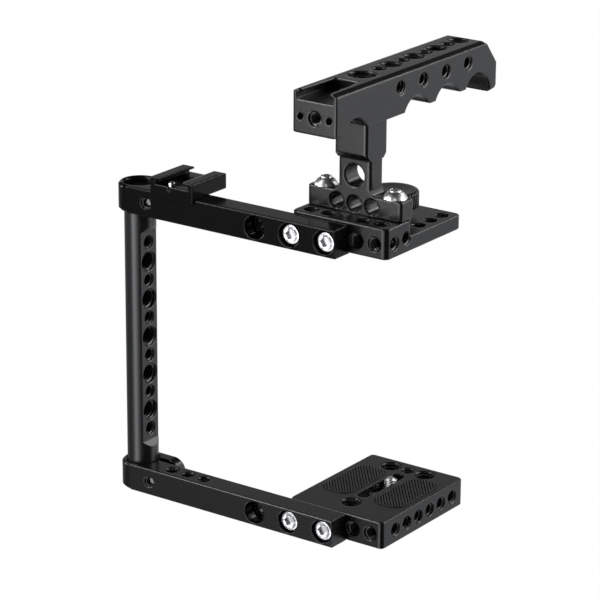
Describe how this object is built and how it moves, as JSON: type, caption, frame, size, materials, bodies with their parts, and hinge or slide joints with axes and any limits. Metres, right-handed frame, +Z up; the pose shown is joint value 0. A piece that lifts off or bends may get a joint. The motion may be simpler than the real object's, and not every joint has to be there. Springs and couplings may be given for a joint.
{
  "type": "camera cage",
  "caption": "Half cage for a camera: clamped pillar, two arms, base and top plates with tapped holes, shoe, and a top handle with finger grooves.",
  "frame": {"origin": "foot of the pillar's axis, on the face that the cage stands on", "axes": "+X along the arms from the pillar to the plates, +Y towards the back of the cage, +Z up along the pillar"},
  "size_m": [0.1474, 0.1295, 0.2159],
  "materials": {
    "black_anodised": "satin black anodised",
    "bright_steel": "bright nickel plated",
    "black_steel": "black oxide",
    "ribbed_rubber": "matt ribbed rubber"
  },
  "bodies": {
    "lower": {"lower_arm": "black_anodised", "base_plate": "black_anodised", "base_plate_bolts": "bright_steel", "left_pad": "ribbed_rubber", "right_pad": "ribbed_rubber"},
    "pillar": {"pillar": "black_anodised"},
    "upper": {"upper_arm": "black_anodised", "top_plate": "black_anodised", "top_plate_bolts": "bright_steel", "lock_wheel_collar": "black_anodised", "handle_stem": "black_anodised", "stem_screws": "bright_steel", "handle_grip": "black_anodised", "handle_bolt": "bright_steel", "handle_dowels": "bright_steel", "accessory_shoe": "black_anodised", "shoe_screw": "black_steel", "shoe_stop_pin": "bright_steel"},
    "lower_clamp": {"lower_clamp_screw": "bright_steel"},
    "upper_clamp": {"upper_clamp_screw": "bright_steel"},
    "camera_screw_carrier": {"camera_screw_washer": "bright_steel"},
    "camera_screw": {"camera_screw": "bright_steel"},
    "lock_wheel": {"lock_wheel": "black_anodised"},
    "shoe_foot": {"shoe_foot": "bright_steel"}
  },
  "joints": [
    {"name": "pillar_turn", "type": "hinge", "parent": "lower", "child": "pillar", "pos_m": [0, 0, 0.0066], "axis": [0, 0, 1], "range_deg": [-180, 180]},
    {"name": "upper_clamp_slide", "type": "slide", "parent": "pillar", "child": "upper", "axis": [0, 0, 1], "range_m": [-0.11, 0]},
    {"name": "lower_clamp_screw_turn", "type": "hinge", "parent": "lower", "child": "lower_clamp", "pos_m": [0.0113, 0, 0.0066], "axis": [0, 1, 0], "range_deg": [0, 180]},
    {"name": "upper_clamp_screw_turn", "type": "hinge", "parent": "upper", "child": "upper_clamp", "pos_m": [0.0113, 0, 0.1452], "axis": [0, 1, 0], "range_deg": [0, 180]},
    {"name": "camera_screw_slide", "type": "slide", "parent": "lower", "child": "camera_screw_carrier", "axis": [0, 1, 0], "range_m": [-0.022, 0.0054]},
    {"name": "camera_screw_turn", "type": "hinge", "parent": "camera_screw_carrier", "child": "camera_screw", "pos_m": [0.1114, 0.0468, 0.0066], "axis": [0, 0, 1], "continuous": true},
    {"name": "lock_wheel_turn", "type": "hinge", "parent": "upper", "child": "lock_wheel", "pos_m": [0.1114, 0.0447, 0.1528], "axis": [0, 0, 1], "range_deg": [-426, 0]},
    {"name": "shoe_foot_lift", "type": "slide", "parent": "upper", "child": "shoe_foot", "axis": [0, 0, 1], "range_m": [0, 0.0015]}
  ],
  "couplings": [
    {"joint": "lock_wheel_turn", "follows": "shoe_foot_lift", "rad_per_m": -4947.4}
  ]
}
